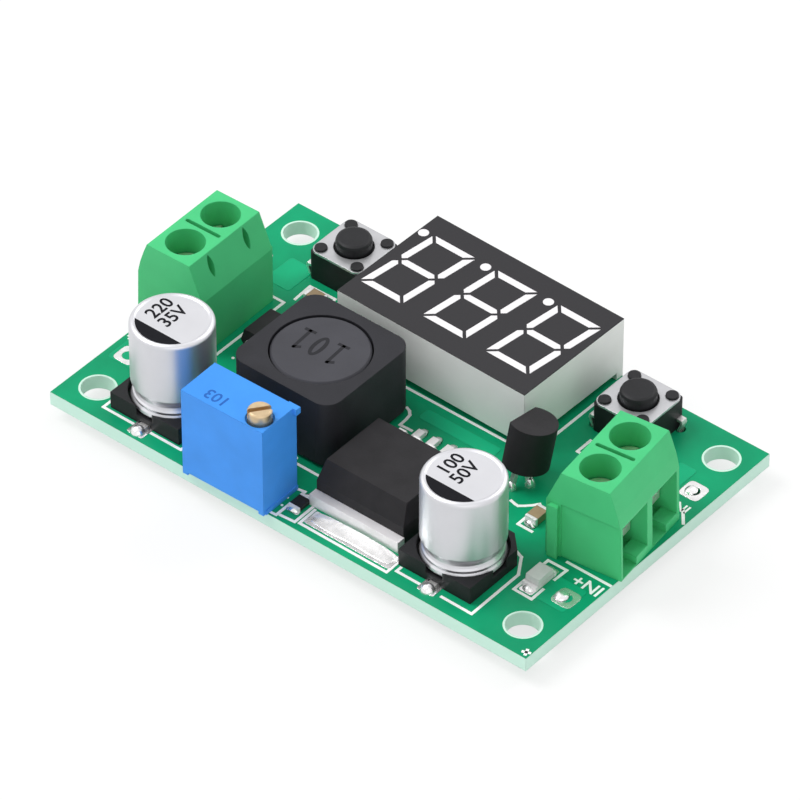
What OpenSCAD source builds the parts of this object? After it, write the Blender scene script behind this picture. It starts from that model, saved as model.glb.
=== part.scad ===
// Adjustable buck converter module with an LED voltmeter, screw terminals and two push buttons.
// Units are millimetres. X runs along the long edge towards the input terminals, Y towards the
// display, and Z up. The origin is the centre of the mounting holes on the board's underside.

/* [Board] */
// Length of the board
board_l = 56.4; // [55.6:0.2:60]
// Width of the board
board_w = 35.5; // [35:0.5:38]
// Thickness of the board
board_t = 1.5; // [1:0.1:2]
// Diameter of the mounting holes
hole_d = 3.2; // [2.6:0.1:3.4]
// Distance from a mounting hole's centre to the short edge
hole_end = 3; // [2.6:0.1:3.2]
// Distance from a mounting hole's centre to the long edge
hole_side = 3.3; // [2.8:0.1:3.6]
// Length of the trimmed leads below the board
lead_trim = 1.5; // [1:0.1:2.5]
// Diameter of the holes for bare wires beside the terminals
wire_hole_d = 1.2; // [0.8:0.1:1.6]

/* [Terminal blocks] */
// Distance between the two screws of a block
terminal_pitch = 5.08; // [5:0.02:5.2]
// Height of a block above the board
terminal_h = 10; // [9.8:0.1:11]
// Height of the block's upright rear wall
terminal_wall_h = 6.3; // [5.8:0.1:6.8]
// Diameter of the wells that hold the screw heads
well_d = 3.8; // [3.7:0.05:4]
// Diameter of a screw head
screw_head_d = 3.5; // [3.3:0.05:3.6]
// Thickness of a screw head
screw_head_t = 1.1; // [0.9:0.1:1.4]
// Diameter of a screw's thread
screw_d = 2.5; // [2:0.1:2.6]
// Lead of a screw's thread
screw_lead = 0.45; // [0.35:0.05:0.5]
// Travel of a clamp cage
cage_travel = 1.6; // [1.4:0.1:1.7]
// Thickness of the bar under the wire
cage_bar_t = 0.8; // [0.6:0.05:0.9]
// Length of a clamp cage
cage_l = 4.1; // [3.8:0.1:4.3]
// Thickness of the fixed contact
contact_t = 0.6; // [0.5:0.05:0.7]
// Screw line's distance from the board's end at the output
out_inset = 3.45; // [3.2:0.05:4.2]
// Screw line's distance from the board's end at the input
in_inset = 4.2; // [3.6:0.05:4.6]
// Turn of the output block from square
out_skew = 1; // [0:0.5:3]
// Turn of the input block from square
in_skew = 6.8; // [0:0.2:8]

/* [Capacitors] */
// Diameter of a can
can_d = 8; // [6.3:0.1:8.4]
// Height of a capacitor above the board
can_h = 10.2; // [7.7:0.1:10.5]
// Side of a capacitor's square base
can_base_w = 8.3; // [8.3:0.1:8.8]
// Thickness of a base under the can
can_base_t = 0.9; // [0.7:0.1:1.2]
// Gap between the output capacitor's base and the inductor
out_can_gap = 1.15; // [0.6:0.05:1.4]
// Distance from the output capacitor to the front edge
out_can_side = 6.1; // [5.4:0.1:6.6]
// Distance from the input capacitor to the front edge
in_can_side = 6.5; // [5.4:0.1:6.6]
// Gap between the regulator and the input capacitor's base
in_can_gap = 1.05; // [0.6:0.05:1.3]

/* [Inductor] */
// Side of the inductor's square shield
inductor_w = 12; // [11.5:0.1:12.3]
// Height of the inductor
inductor_h = 7.7; // [6:0.1:8.2]
// Radius of the shield's corners
inductor_r = 1.7; // [1:0.1:2]
// Diameter of the bore for the wound core
inductor_bore = 9.7; // [9:0.1:9.9]
// Diameter of the core's middle
core_d = 4; // [3:0.1:5]
// Place of the inductor along the board
inductor_x = -7; // [-7.4:0.1:-6.9]
// Share of the free depth that lies between the display and the inductor
inductor_share = 0.35; // [0.2:0.01:0.5]

/* [Regulator] */
// Width of the regulator's body
regulator_w = 10.2; // [9.8:0.1:10.4]
// Depth of the regulator's body
regulator_l = 8.7; // [8.4:0.1:9]
// Height of the regulator's body
regulator_h = 4.5; // [4.2:0.1:4.8]
// Thickness of the metal tab
tab_t = 1.27; // [1:0.01:1.4]
// Length of the tab beyond the body
tab_out = 0.95; // [0.8:0.05:1.4]
// Distance between the regulator's leads
regulator_pitch = 1.7; // [1.5:0.1:1.8]
// Gap between the inductor and the regulator
regulator_gap = 1.35; // [1:0.05:1.6]
// Distance from the regulator's body to the front edge
regulator_side = 4.35; // [4:0.05:4.6]

/* [Trimmer] */
// Width of the trimmer
trimmer_l = 9.53; // [9:0.01:10]
// Depth of the trimmer
trimmer_w = 4.83; // [4.5:0.01:5]
// Height of the trimmer's housing
trimmer_h = 10; // [9:0.1:10.4]
// Thickness of the trimmer's walls
trimmer_wall = 0.6; // [0.5:0.05:0.7]
// Diameter of the adjusting screw's head
adjust_head_d = 2.3; // [2:0.05:2.4]
// Height of the adjusting screw above the housing
adjust_out = 1.1; // [0.8:0.1:1.4]
// Diameter of the adjusting screw's thread
adjust_d = 1.2; // [1:0.05:1.4]
// Place of the trimmer along the board
trimmer_x = -6.7; // [-6.9:0.1:-6.3]
// Distance that the trimmer stands out past the front edge
trimmer_over = 0.55; // [0.2:0.05:0.7]
// Turn of the trimmer from square
trimmer_skew = 0.9; // [0:0.1:2]

/* [Display] */
// Length of the display
display_l = 22.6; // [22.2:0.1:23]
// Depth of the display
display_d = 14.2; // [14:0.1:14.5]
// Height of the display above the board
display_h = 6.9; // [6.4:0.1:8]
// Height of the feet under the display's corners
display_foot = 0.8; // [0.6:0.1:1]
// Place of the display along the board
display_x = -0.4; // [-0.6:0.1:0.2]
// Distance that the display stands out past the rear edge
display_over = 0.3; // [0:0.05:0.5]
// Turn of the display from square
display_skew = -1.3; // [-1.5:0.1:0]
// Distance between two digits
digit_pitch = 7.6; // [7.4:0.05:7.7]
// Height of a digit between its bars' middles
digit_h = 8.7; // [8:0.1:9.2]
// Width of a digit between its bars' middles
digit_w = 4.45; // [4:0.05:4.6]
// Width of a lit bar
bar_w = 0.75; // [0.6:0.05:0.9]
// Slant of the digits
digit_slant = 6; // [0:1:8]
// Diameter of a decimal point
point_d = 1.05; // [0.8:0.05:1.1]

/* [Push buttons] */
// Side of a button's square base
button_w = 6; // [5.8:0.1:6.2]
// Height of a button's base
button_base_h = 3.2; // [3:0.1:3.6]
// Diameter of a plunger
plunger_d = 3.5; // [3.2:0.1:3.6]
// Height of a plunger above the board
plunger_h = 4.6; // [4.3:0.1:6]
// Travel of a plunger
plunger_travel = 0.25; // [0.15:0.05:0.3]
// Thickness of the metal cover
cover_t = 0.25; // [0.2:0.05:0.3]
// Distance between a button's rivets
rivet_pitch = 4.4; // [4.3:0.05:4.6]
// Gap between the display and each button
button_gap = 2.65; // [2.4:0.05:3]
// Distance from the buttons to the rear edge
button_side = 4.7; // [4.2:0.1:5]

/* [Small parts] */
// Height of the meter regulator's body
small_reg_h = 4.6; // [4.2:0.1:5]
// Diameter of the meter regulator's body
small_reg_d = 4.6; // [4.4:0.1:4.8]
// Height of the meter regulator above the board
small_reg_lift = 2; // [1.6:0.1:2.6]
// Lean of the meter regulator towards the display
small_reg_lean = 11; // [0:1:12]
// Width of the diode's body
diode_w = 3.6; // [3.4:0.1:3.9]
// Length of the diode's body
diode_l = 4.4; // [4:0.1:4.6]
// Height of the diode
diode_h = 2.25; // [2:0.05:2.6]
// Length of a chip resistor or chip capacitor
chip_l = 2; // [1.8:0.05:2.2]
// Width of a chip resistor or chip capacitor
chip_w = 1.25; // [1:0.05:1.4]
// Length of the power light
led_l = 2.9; // [2.6:0.1:3.2]
// Width of the power light
led_w = 1.6; // [1.4:0.1:1.7]

/* [Hidden] */

$fn = 48;
// Smallest overlap of a cut past a face
e = 0.01;
// Clearance of a running fit, on the radius
fit = 0.05;
// Clearance between a piece and the seat that holds it
seat = 0.05;
green = "#2fbf62";
tin = "#d5d8dc";
brass = "#c9a14a";
black = "#1f2022";

// Terminal block, with its front along +X and its screws at x = 0
terminal_l = 2 * terminal_pitch;
block_rear = -4.05;
block_front = 3.9;
block_lip = 3.7;
block_flat = 2.55;
block_floor = 0.5;
cage_gap = 0.1;
contact_w = 2.5;
contact_back = -2.95;
contact_front = 1.9;
pin_w = 1;
contact_z = block_floor + seat + cage_gap + cage_travel + cage_bar_t;
cage_side = 0.6;
cage_w = contact_w + 2 * (0.1 + cage_side);
cage_front = 2.1;
cage_bar_z = contact_z - seat - cage_bar_t;
cage_window = contact_t + cage_travel + 2 * seat;
cage_top_z = contact_z - seat + cage_window;
cage_top_t = 0.7;
cavity_w = cage_w + 0.3;
cavity_rear = contact_back + contact_t + seat;
cavity_top = cage_top_z + cage_top_t + seat;
web_t = 0.3;
well_z = cavity_top + web_t;
mouth_h = terminal_wall_h - 0.25;
lip_t = 1;
lip_notch = 0.15;

// Places on the board
hole_x = board_l / 2 - hole_end;
hole_y = board_w / 2 - hole_side;
out_x = out_inset - board_l / 2;
out_y = 0.15;
in_x = board_l / 2 - in_inset;
in_y = 0;
display_y = board_w / 2 + display_over - display_d / 2;
display_front = display_y - display_d / 2;
trimmer_y = trimmer_w / 2 - trimmer_over - board_w / 2;
inductor_free = display_front - trimmer_y - trimmer_w / 2 - inductor_w;
inductor_y = display_front - inductor_share * inductor_free - inductor_w / 2;
inductor_left = inductor_x - inductor_w / 2;
out_can = [inductor_left - out_can_gap - can_base_w / 2, out_can_side - board_w / 2];
regulator_x = inductor_x + inductor_w / 2 + regulator_gap + regulator_w / 2;
regulator_y = regulator_side - board_w / 2;
in_can = [regulator_x + regulator_w / 2 + in_can_gap + can_base_w / 2, in_can_side - board_w / 2];
right_button = [display_x + display_l / 2 + button_gap + button_w / 2, board_w / 2 - button_side];
left_button = [display_x - display_l / 2 - button_gap - button_w / 2, board_w / 2 - button_side];
small_reg = [13.1, display_front - 3];
diode = [(out_x - block_rear + inductor_left) / 2, 0.4];
wire_y = hole_y - 5.15;
wire_end = 2.2;

// Screw head height and the trimmer's inside
head_z = well_z + seat;
trimmer_in_l = trimmer_l / 2 - trimmer_wall;
trimmer_in_w = trimmer_w / 2 - trimmer_wall;
nut_wall = 0.2;
nut_r = adjust_d / 2 + fit;
adjust_x = trimmer_l / 2 - 1.5;
adjust_y = fit + nut_wall + nut_r - trimmer_in_w;
adjust_well = 1.3;
trimmer_top = adjust_well + 0.5;
trimmer_lift = 0.3;
trimmer_base_t = 1.2;
trimmer_floor = trimmer_lift + trimmer_base_t;
trimmer_ceiling = trimmer_h - trimmer_top;
slider_h = 1.6;
pin_rise = 0.3;
collar_t = 0.4;
slider_low = trimmer_floor + pin_rise;
slider_high = trimmer_ceiling - seat - collar_t;
slider_z = (slider_low + slider_high - slider_h) / 2;
element_t = 0.6;
wiper_gap = 0.25;

// Button sizes
cover_hole_d = plunger_d + 0.4;
flange_d = cover_hole_d + 0.7;
flange_t = 0.5;
flange_z = button_base_h - flange_t;
dome_r = 2.2;
dome_rise = 0.35;
dome_t = 0.1;
well_floor = 1;
rivet_d = 1.2;
lead_w = 0.7;
lead_t = 0.3;
lead_row = 2.25;
lead_out = 3.25;

// Points of an arc about c, from angle a to angle b in n steps
function arc(c, r, a, b, n) = [for (i = [0:n]) c + r * [cos(a + (b - a) * i / n), sin(a + (b - a) * i / n)]];

module on_board(place, turn = 0) {
    translate([place[0], place[1], board_t]) rotate([0, 0, turn]) children();
}

module at_out(pole = 0) {
    on_board([out_x, out_y], 180 + out_skew) translate([0, pole * terminal_pitch / 2, 0]) children();
}

module at_in(pole = 0) {
    on_board([in_x, in_y], in_skew) translate([0, pole * terminal_pitch / 2, 0]) children();
}

module at_trimmer() {
    on_board([trimmer_x, trimmer_y], trimmer_skew) children();
}

module at_display() {
    on_board([display_x, display_y], display_skew) children();
}

// Block from corner a to corner b
module box(a, b) {
    translate(a) cube(b - a);
}

// Block centred in X and Y, with rounded upright edges, from z = 0
module rounded_block(l, w, h, r) {
    linear_extrude(height = h) {
        square([l, w - 2 * r], center = true);
        square([l - 2 * r, w], center = true);
        for (x = [-1, 1], y = [-1, 1]) translate([x * (l / 2 - r), y * (w / 2 - r)]) circle(r = r);
    }
}

// Outline in X and Z, carried w wide along Y about y = 0
module along_y(points, w) {
    rotate([90, 0, 0]) linear_extrude(height = w, center = true) polygon(points);
}

// Outline in Y and Z, carried w wide along X about x = 0
module along_x(points, w) {
    rotate([90, 0, 90]) linear_extrude(height = w, center = true) polygon(points);
}

// Places of leads that pass through the board, each with its width in X and in Y

trimmer_pin = 0.5;
trimmer_pin_pitch = 2.54;
trimmer_pin_y = 0.6;
display_pin = 0.5;
display_pin_pitch = 2.54;
display_pin_row = 5.1;
small_lead = 0.45;
small_feet = [[-0.1, -1.85], [0.9, -0.4], [0.2, 1.45]];

module each_terminal_pin() {
    for (pole = [-1, 1]) {
        at_out(pole) translate([contact_back + contact_t / 2, 0, 0]) children();
        at_in(pole) translate([contact_back + contact_t / 2, 0, 0]) children();
    }
}

module each_trimmer_pin() {
    at_trimmer()
        for (i = [-1:1]) translate([i * trimmer_pin_pitch, trimmer_pin_y, 0]) children();
}

module each_display_pin() {
    at_display()
        for (side = [-1, 1], i = [-2.5:1:2.5])
            translate([i * display_pin_pitch, side * display_pin_row, 0]) children();
}

module each_small_lead() {
    on_board(small_reg)
        for (foot = small_feet) translate([foot[0], foot[1], 0]) children();
}

module each_button_lead() {
    for (place = [left_button, right_button])
        on_board(place)
            for (x = [-1, 1], y = [-1, 1]) translate([x * lead_out, y * lead_row, 0]) children();
}

module each_wire_pad() {
    for (x = [-1, 1], y = [-1, 1])
        translate([x * (board_l / 2 - wire_end), y * wire_y, board_t]) children();
}

module board_hole(d) {
    translate([0, 0, -board_t - e]) cylinder(h = board_t + 2 * e, d = d);
}

module pcb() {
    color("#149c62")
    difference() {
        box([-board_l / 2, -board_w / 2, 0], [board_l / 2, board_w / 2, board_t]);
        for (x = [-1, 1], y = [-1, 1])
            translate([x * hole_x, y * hole_y, -e]) cylinder(h = board_t + 2 * e, d = hole_d);
        each_terminal_pin() board_hole(1.4);
        each_trimmer_pin() board_hole(0.9);
        each_display_pin() board_hole(0.9);
        each_small_lead() board_hole(0.8);
        each_button_lead() board_hole(1);
        each_wire_pad() board_hole(wire_hole_d);
    }
}

// Cone of solder below the board, around a lead x wide and y deep
module solder(x, y, d) {
    solder_h = 0.6 * lead_trim;
    translate([0, 0, -board_t])
    difference() {
        translate([0, 0, -solder_h]) cylinder(h = solder_h, d1 = d / 2, d2 = d, $fn = 24);
        box([-x / 2, -y / 2, -solder_h - e], [x / 2, y / 2, e]);
    }
}

module solder_joints() {
    color(tin) {
        each_terminal_pin() solder(contact_t, pin_w, 2.6);
        each_trimmer_pin() solder(trimmer_pin, trimmer_pin, 1.7);
        each_display_pin() solder(display_pin, display_pin, 1.6);
        each_small_lead() solder(small_lead, small_lead, 1.5);
        each_button_lead() solder(lead_t, lead_w, 1.8);
    }
}

// Housing of a two-pole block
module terminal_housing() {
    slot_l = 3.7;
    slot_w = 0.42;
    color(green)
    difference() {
        union() {
            along_y([[block_rear, 0], [block_rear, terminal_wall_h], [-block_flat, terminal_h],
                [block_flat, terminal_h], [block_flat + 0.42, terminal_h - 1.1],
                [block_lip - 0.3, terminal_h - 2.4], [block_lip, terminal_wall_h], [block_front, 0]], terminal_l);
            dovetail(0);
        }
        translate([0, terminal_l, 0]) dovetail(0.1);
        for (y = [-1, 1]) translate([0, y * terminal_pitch / 2, 0]) pole_cuts();
        // shallow step below the shoulder of the free end
        box([block_rear + 1.6, -terminal_l / 2 - e, -e], [block_front + 1, 0.12 - terminal_l / 2, terminal_wall_h]);
        // slot with round ends between the two wells
        translate([0, 0, terminal_h - 1.5]) {
            box([-slot_l / 2, -slot_w / 2, 0], [slot_l / 2, slot_w / 2, 2]);
            for (x = [-slot_l / 2, slot_l / 2]) translate([x, 0, 0]) cylinder(h = 2, d = slot_w);
        }
    }
}

// Rib that locks two blocks side by side
module dovetail(grow) {
    rib = 0.5;
    translate([block_rear + 0.95, -terminal_l / 2, -e * grow])
        linear_extrude(height = terminal_wall_h - 0.2 + grow)
            polygon([[-0.4 - grow, e], [0.4 + grow, e], [0.55 + grow, -rib - grow], [-0.55 - grow, -rib - grow]]);
}

module pole_cuts() {
    translate([0, 0, well_z]) cylinder(h = terminal_h, d = well_d);
    translate([0, 0, cavity_top - e]) cylinder(h = web_t + 2 * e, d = screw_d + 4 * fit);
    box([cavity_rear, -cavity_w / 2, block_floor], [cage_front + 0.1, cavity_w / 2, cavity_top]);
    box([cage_front, -cavity_w / 2, lip_t], [block_front + 1, cavity_w / 2, mouth_h]);
    // channel that the contact is pushed up into
    box([contact_back - seat, -contact_w / 2 - seat, -e],
        [cavity_rear + e, contact_w / 2 + seat, contact_z + contact_t + seat]);
    // notch in the lip
    box([cage_front, -cavity_w / 2, lip_notch], [block_front + 1, 0.2, lip_t + e]);
    // pointed test slit in the sloped rear
    slope = atan2(terminal_h - terminal_wall_h, -block_flat - block_rear);
    along = 0.65;
    translate([block_rear - (block_rear + block_flat) * along, 0,
        terminal_wall_h + (terminal_h - terminal_wall_h) * along])
        rotate([0, -slope, 0])
            intersection_for (side = [-1, 1])
                translate([0, side * 1.85, -0.8]) cylinder(h = 3, r = 2.2);
}

// The two fixed contacts of a block, each a bent strip with its pin
module terminal_contacts() {
    color(tin)
    for (y = [-1, 1]) translate([0, y * terminal_pitch / 2, 0]) {
        along_y([[contact_back, 0], [contact_back + contact_t, 0], [contact_back + contact_t, contact_z],
            [contact_front, contact_z], [contact_front, contact_z + contact_t],
            [contact_back, contact_z + contact_t]], contact_w);
        box([contact_back, -pin_w / 2, -board_t - lead_trim], [contact_back + contact_t, pin_w / 2, 0]);
    }
}

// Cage that the screw lifts against the contact
module cage() {
    color(tin)
    difference() {
        box([cage_front - cage_l, -cage_w / 2, cage_bar_z], [cage_front, cage_w / 2, cage_top_z + cage_top_t]);
        box([cage_front - cage_l - 1, cage_side - cage_w / 2, contact_z - seat],
            [cage_front + 1, cage_w / 2 - cage_side, cage_top_z]);
        translate([0, 0, cage_top_z - e]) cylinder(h = cage_top_t + 2 * e, d = screw_d + 2 * fit);
    }
}

// Slotted screw, which turns in place with its tip on the contact
module clamp_screw(turn) {
    slot_w = 0.6;
    color(tin) rotate([0, 0, turn])
    difference() {
        rotate_extrude()
            polygon([[0, contact_z + contact_t + seat], [screw_d / 2 - 0.3, contact_z + contact_t + seat],
                [screw_d / 2, contact_z + contact_t + seat + 0.3], [screw_d / 2, head_z],
                [screw_head_d / 2, head_z], [screw_head_d / 2, head_z + screw_head_t - 0.25],
                [screw_head_d / 2 - 0.3, head_z + screw_head_t], [0, head_z + screw_head_t]]);
        box([-screw_head_d, -slot_w / 2, head_z + screw_head_t / 2],
            [screw_head_d, slot_w / 2, head_z + screw_head_t + 1]);
    }
}

// Aluminium can, with a rolled top edge and a crimped groove near its foot
module capacitor_can() {
    r = can_d / 2;
    edge = 0.45;
    groove_z = can_base_t + 1.7;
    color("#d9dbe0")
    rotate_extrude()
        polygon(concat(
            [[0, can_base_t], [r - 0.5, can_base_t]],
            arc([r - 0.45, can_base_t + 0.5], 0.45, -80, 60, 4),
            arc([r + 0.2, groove_z], 0.65, 235, 125, 5),
            [[r, groove_z + 0.9]],
            arc([r - edge, can_h - edge], edge, 0, 90, 6),
            [[r - edge - 0.15, can_h - 0.1], [0, can_h - 0.1]]));
}

// Moulded base, with two cut corners and raised corner posts
module capacitor_base() {
    w = can_base_w / 2;
    cut = 1.6;
    post_h = can_base_t + 1;
    foot_w = 1.3;
    color(black)
    difference() {
        linear_extrude(height = post_h)
            polygon([[-w, -w], [w, -w], [w, w - cut], [w - cut, w], [cut - w, w], [-w, w - cut]]);
        translate([0, 0, can_base_t]) cylinder(h = post_h, d = can_d + 0.5);
        for (side = [-1, 1])
            translate([0, side * (w + 1), 0]) box([-foot_w / 2, -w, -e], [foot_w / 2, w, 0.35]);
    }
}

// Pair of flat leads in the base's grooves
module capacitor_leads() {
    out = 0.6;
    lead = 0.9;
    color(tin)
    for (side = [-1, 1]) {
        from = side * 1.3;
        to = side * (can_base_w / 2 + out);
        box([-lead / 2, min(from, to), 0], [lead / 2, max(from, to), 0.3]);
    }
}

flange_gap = 0.15;
foot_t = 0.4;

// Square shield with a bore for the core
module inductor_shield() {
    color("#3a3b40") on_board([inductor_x, inductor_y])
    difference() {
        translate([0, 0, foot_t]) rounded_block(inductor_w, inductor_w, inductor_h - foot_t, inductor_r);
        translate([0, 0, foot_t - e]) cylinder(h = inductor_h, d = inductor_bore);
    }
}

// Bobbin-shaped core with a flange at each end
module inductor_core() {
    r = inductor_bore / 2 - flange_gap;
    flange = 1.1;
    color("#44454b") on_board([inductor_x, inductor_y])
    rotate_extrude()
        polygon([[0, foot_t], [r, foot_t], [r, foot_t + flange], [core_d / 2, foot_t + flange],
            [core_d / 2, inductor_h - flange], [r, inductor_h - flange], [r, inductor_h - 0.2],
            [r - 0.2, inductor_h], [0, inductor_h]]);
}

module inductor_winding() {
    flange = 1.1;
    color("#b8722c") on_board([inductor_x, inductor_y]) translate([0, 0, foot_t + flange + seat])
    difference() {
        cylinder(h = inductor_h - foot_t - 2 * (flange + seat), d = inductor_bore - 1);
        translate([0, 0, -e]) cylinder(h = inductor_h, d = core_d + 0.2);
    }
}

// Two metal feet under the shield
module inductor_terminals() {
    foot_l = 2.4;
    foot_w = 5;
    color(tin) on_board([inductor_x, inductor_y])
    for (side = [-1, 1])
        translate([side * (inductor_w / 2 - foot_l / 2 - 0.1), 0, foot_t / 2])
            cube([foot_l, foot_w, foot_t], center = true);
}

slug_w = 8.4;
slug_l = 6.5;

// Power package: a moulded body over a metal slug
module regulator_body() {
    half = regulator_w / 2;
    waist = 2.4;
    color(black) on_board([regulator_x, regulator_y])
    difference() {
        intersection() {
            along_x([[0, 0], [0, waist], [0.95, regulator_h], [regulator_l - 0.4, regulator_h],
                [regulator_l, waist], [regulator_l, 0]], regulator_w + 1);
            translate([0, regulator_l / 2, 0])
                along_y([[-half, 0], [-half, waist], [0.4 - half, regulator_h], [half - 0.4, regulator_h],
                    [half, waist], [half, 0]], regulator_l + 1);
        }
        box([-slug_w / 2, -e, -e], [slug_w / 2, slug_l, tab_t]);
    }
}

// Slug with its tab, and five bent leads
module regulator_leadframe() {
    lead = 0.8;
    thick = 0.5;
    exit_z = 2;
    color(tin) on_board([regulator_x, regulator_y]) {
        box([-slug_w / 2, -e, 0], [slug_w / 2, slug_l, tab_t]);
        box([-regulator_w / 2 - 0.1, -tab_out, 0], [regulator_w / 2 + 0.1, 0, tab_t]);
        for (i = [-2:2]) translate([i * regulator_pitch, 0, 0])
            along_x([[regulator_l, exit_z], [regulator_l + 1.2, exit_z], [regulator_l + 2.2, 0],
                [regulator_l + 4.3, 0], [regulator_l + 4.3, thick], [regulator_l + 2.55, thick],
                [regulator_l + 1.55, exit_z + thick], [regulator_l, exit_z + thick]], lead);
    }
}

module diode_body() {
    half_w = diode_w / 2;
    half_l = diode_l / 2;
    waist = diode_h / 2;
    color(black) on_board(diode)
    intersection() {
        along_x([[0.3 - half_l, 0.1], [-half_l, waist], [0.3 - half_l, diode_h],
            [half_l - 0.3, diode_h], [half_l, waist], [half_l - 0.3, 0.1]], diode_w + 1);
        along_y([[0.2 - half_w, 0.1], [-half_w, waist], [0.2 - half_w, diode_h],
            [half_w - 0.2, diode_h], [half_w, waist], [half_w - 0.2, 0.1]], diode_l + 1);
    }
}

// Lead bent down from each end of the diode
module diode_leads() {
    half_l = diode_l / 2;
    waist = diode_h / 2;
    color(tin) on_board(diode)
    for (side = [0, 180]) rotate([0, 0, side])
        along_x([[half_l, waist], [half_l + 0.35, waist - 0.1], [half_l + 0.55, 0], [half_l + 1, 0],
            [half_l + 1, 0.2], [half_l + 0.75, 0.2], [half_l + 0.55, waist + 0.15],
            [half_l, waist + 0.25]], 2.1);
}

// Open-bottomed housing of the multi-turn trimmer
module trimmer_housing() {
    l = trimmer_l / 2;
    w = trimmer_w / 2;
    color("#3f86e0") at_trimmer()
    difference() {
        union() {
            box([-l, -w, trimmer_lift], [l, w, trimmer_h]);
            // feet, ledge and corner nub
            for (x = [-l, l - trimmer_wall]) box([x, -w, 0], [x + trimmer_wall, w, trimmer_lift + e]);
            box([l - e, 0.3 - w, 0], [l + 0.12, w, 0.5]);
            box([l - 0.9, w - 0.5, trimmer_h - 0.7], [l + 0.4, w + 0.12, trimmer_h]);
        }
        box([-trimmer_in_l, -trimmer_in_w, -e], [trimmer_in_l, trimmer_in_w, trimmer_ceiling]);
        translate([adjust_x, adjust_y, trimmer_ceiling - e]) cylinder(h = trimmer_top, r = nut_r);
        translate([adjust_x, adjust_y, trimmer_h - adjust_well]) cylinder(h = 2, d = adjust_head_d + 2 * fit);
        translate([adjust_x, adjust_y, trimmer_h - 0.35]) cylinder(h = 2, d = adjust_head_d + 0.4);
    }
}

// Plate that closes the housing and holds the pins
module trimmer_base() {
    l = trimmer_in_l - seat;
    w = trimmer_in_w - seat;
    color("#2c5fae") at_trimmer()
    difference() {
        box([-l, -w, trimmer_lift], [l, w, trimmer_floor]);
        for (i = [-1:1]) translate([i * trimmer_pin_pitch, trimmer_pin_y, 0])
            box([-trimmer_pin / 2, -trimmer_pin / 2, 0], [trimmer_pin / 2, trimmer_pin / 2, 2]);
    }
}

module trimmer_pins() {
    color(tin) each_trimmer_pin()
        box([-trimmer_pin / 2, -trimmer_pin / 2, -board_t - lead_trim],
            [trimmer_pin / 2, trimmer_pin / 2, trimmer_floor + pin_rise]);
}

// Brass lead screw, with a slotted head above the housing
module trimmer_screw() {
    r = adjust_head_d / 2;
    thread_r = adjust_d / 2;
    top = trimmer_h + adjust_out;
    low = trimmer_floor + seat;
    head = trimmer_h - adjust_well + seat;
    collar_z = trimmer_ceiling - seat;
    color(brass) at_trimmer() translate([adjust_x, adjust_y, 0]) rotate([0, 0, 52])
    difference() {
        rotate_extrude()
            polygon([[0, low], [thread_r, low], [thread_r, collar_z - collar_t],
                [thread_r + 0.1, collar_z - collar_t], [thread_r + 0.1, collar_z], [thread_r, collar_z],
                [thread_r, head], [r, head], [r, top - 0.15], [r - 0.15, top], [0, top]]);
        box([-r - 1, -0.25, top - 0.8], [r + 1, 0.25, top + 1]);
    }
}

// Nut that the screw drives along the resistive track
module trimmer_slider() {
    color("white") at_trimmer()
    difference() {
        box([adjust_x - 1.6, fit - trimmer_in_w, slider_z],
            [adjust_x + 0.75, trimmer_in_w - seat - element_t - wiper_gap, slider_z + slider_h]);
        translate([adjust_x, adjust_y, slider_z - e]) cylinder(h = slider_h + 2 * e, r = nut_r);
    }
}

// Spring strip on the nut, which wipes the track
module trimmer_wiper() {
    y = trimmer_in_w - seat - element_t - wiper_gap;
    color(brass) at_trimmer()
        box([adjust_x - 1.2, y, slider_z + 0.3], [adjust_x + 0.3, y + wiper_gap - fit, slider_z + 0.9]);
}

// Ceramic plate that carries the resistive track
module trimmer_element() {
    back = trimmer_in_w - seat;
    color("ivory") at_trimmer()
        box([seat - trimmer_in_l, back - element_t, trimmer_floor + seat],
            [trimmer_in_l - seat, back, trimmer_ceiling - seat]);
}

// Half-round body that leans on its leads
module meter_regulator_body() {
    flat = 1.3;
    color(black) on_board(small_reg) translate([0, 0, small_reg_lift]) rotate([-small_reg_lean, 3, 0])
    intersection() {
        cylinder(h = small_reg_h, d = small_reg_d);
        box([-flat, -small_reg_d, 0], [small_reg_d, small_reg_d, small_reg_h]);
    }
}

// Three splayed leads
module meter_regulator_leads() {
    color(tin) on_board(small_reg)
    for (i = [0:2]) {
        foot = small_feet[i];
        hull() {
            translate([foot[0], foot[1], 0.2]) cube([small_lead, small_lead, 0.4], center = true);
            translate([0, 0, small_reg_lift]) rotate([-small_reg_lean, 3, 0])
                translate([0, (i - 1) * 1.27, -0.05]) cube([small_lead, small_lead, 0.1], center = true);
        }
        translate([foot[0], foot[1], 0])
            box([-small_lead / 2, -small_lead / 2, -board_t - lead_trim], [small_lead / 2, small_lead / 2, e]);
    }
}

// Point of a digit, moved sideways by the slant
function slant(p) = [p[0] + p[1] * tan(digit_slant), p[1]];

module slanted(points) {
    polygon([for (p = points) slant(p)]);
}

// The seven bars and the point of one digit
module digit() {
    gap = 0.22;
    h = digit_h / 2;
    w = digit_w / 2;
    b = bar_w / 2;
    long = w - gap;
    for (level = [-1, 1])
        slanted([[-long - b, level * (h + b)], [long + b, level * (h + b)],
            [long - b, level * (h - b)], [b - long, level * (h - b)]]);
    slanted([[-long, 0], [b - long, b], [long - b, b], [long, 0], [long - b, -b], [b - long, -b]]);
    for (side = [-1, 1], level = [-1, 1])
        slanted([[side * w, level * gap], [side * (w + b), level * (gap + b)],
            [side * (w + b), level * (h - gap + b)], [side * (w - b), level * (h - gap - b)],
            [side * (w - b), level * (gap + b)]]);
    translate([-w - 0.85, h]) circle(d = point_d, $fn = 24);
}

module all_digits() {
    for (i = [-1:1]) translate([i * digit_pitch, 0]) digit();
}

bar_depth = 1.2;

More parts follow.
